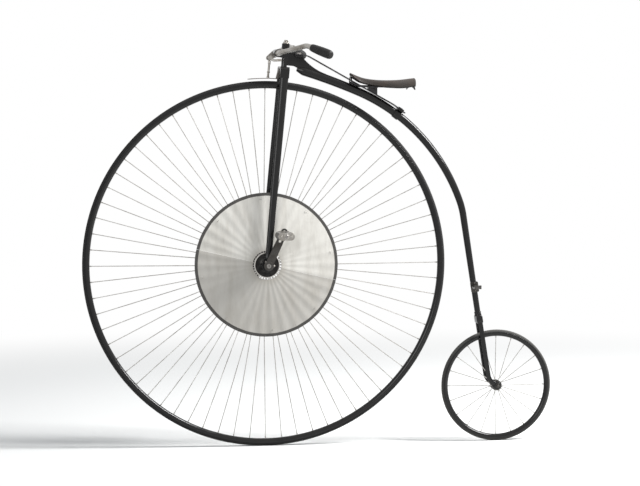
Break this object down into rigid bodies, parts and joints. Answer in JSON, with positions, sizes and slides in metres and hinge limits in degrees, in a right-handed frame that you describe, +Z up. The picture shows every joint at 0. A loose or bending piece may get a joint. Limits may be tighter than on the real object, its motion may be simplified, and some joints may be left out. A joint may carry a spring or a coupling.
{
  "type": "penny farthing bicycle",
  "caption": "High-wheel bicycle with a curved backbone, open steering head, cranked front wheel, small trailing wheel and a round blank sign on its spokes.",
  "frame": {"origin": "the rider's seat, on top of the saddle leather in the bicycle's middle plane", "axes": "+X rearward along the bicycle, +Y to the rider's right, +Z up; the rider faces -X"},
  "size_m": [1.7864, 0.6776, 1.525],
  "materials": {
    "black_enamel": "worn gloss black enamel",
    "nickel": "dulled nickel plate",
    "steel": "bare steel, oiled",
    "spring_steel": "blackened spring steel",
    "spoke_steel": "drawn wire",
    "tyre": "solid rubber, dusty",
    "grip_rubber": "worn smooth black",
    "pedal_rubber": "dusty grey rubber",
    "saddle_leather": "dark waxed harness leather",
    "sign_paint": "off-white painted sheet with a dark edge band"
  },
  "bodies": {
    "frame": {"backbone": "black_enamel", "rear_fork": "black_enamel", "rear_axle": "steel", "rear_axle_nuts": "steel", "mounting_step": "black_enamel", "saddle_spring": "spring_steel", "spring_clip": "black_enamel", "spring_bolt": "steel", "saddle_frame": "spring_steel", "saddle_cantle": "spring_steel", "saddle_leather": "saddle_leather"},
    "front_fork": {"fork_head": "black_enamel", "head_bolt": "nickel", "head_lock_nut": "nickel", "fork_blade_left": "black_enamel", "fork_blade_right": "black_enamel", "bearing_left": "nickel", "bearing_right": "nickel", "handlebar": "nickel", "grip_left": "grip_rubber", "grip_right": "grip_rubber", "brake_lever": "nickel", "brake_bracket": "nickel", "brake_rod": "nickel", "brake_spoon": "steel"},
    "front_wheel": {"front_axle": "steel", "front_hub": "nickel", "front_spokes": "spoke_steel", "front_rim": "black_enamel", "front_tyre": "tyre", "crank_left": "nickel", "crank_right": "nickel", "pedal_pin_left": "steel", "pedal_pin_right": "steel", "sign_upper": "sign_paint", "sign_lower": "sign_paint"},
    "left_pedal": {"pedal_frame_left": "nickel", "pedal_rubbers_left": "pedal_rubber"},
    "right_pedal": {"pedal_frame_right": "nickel", "pedal_rubbers_right": "pedal_rubber"},
    "rear_wheel": {"rear_hub": "nickel", "rear_spokes": "spoke_steel", "rear_rim": "black_enamel", "rear_tyre": "tyre"}
  },
  "joints": [
    {"name": "steering", "type": "hinge", "parent": "frame", "child": "front_fork", "pos_m": [-0.39888, 0, 0.05453], "axis": [0.0958, 0, 0.9954], "range_deg": [-40, 40]},
    {"name": "front_wheel_spin", "type": "hinge", "parent": "front_fork", "child": "front_wheel", "pos_m": [-0.47, 0, -0.68405], "axis": [0, -1, 0], "continuous": true},
    {"name": "left_pedal_spin", "type": "hinge", "parent": "front_wheel", "child": "left_pedal", "pos_m": [-0.41633, -0.12, -0.56895], "axis": [0, -1, 0], "continuous": true},
    {"name": "right_pedal_spin", "type": "hinge", "parent": "front_wheel", "child": "right_pedal", "pos_m": [-0.52367, 0.12, -0.79915], "axis": [0, -1, 0], "continuous": true},
    {"name": "rear_wheel_spin", "type": "hinge", "parent": "frame", "child": "rear_wheel", "pos_m": [0.41803, 0, -1.15755], "axis": [0, -1, 0], "continuous": true}
  ]
}
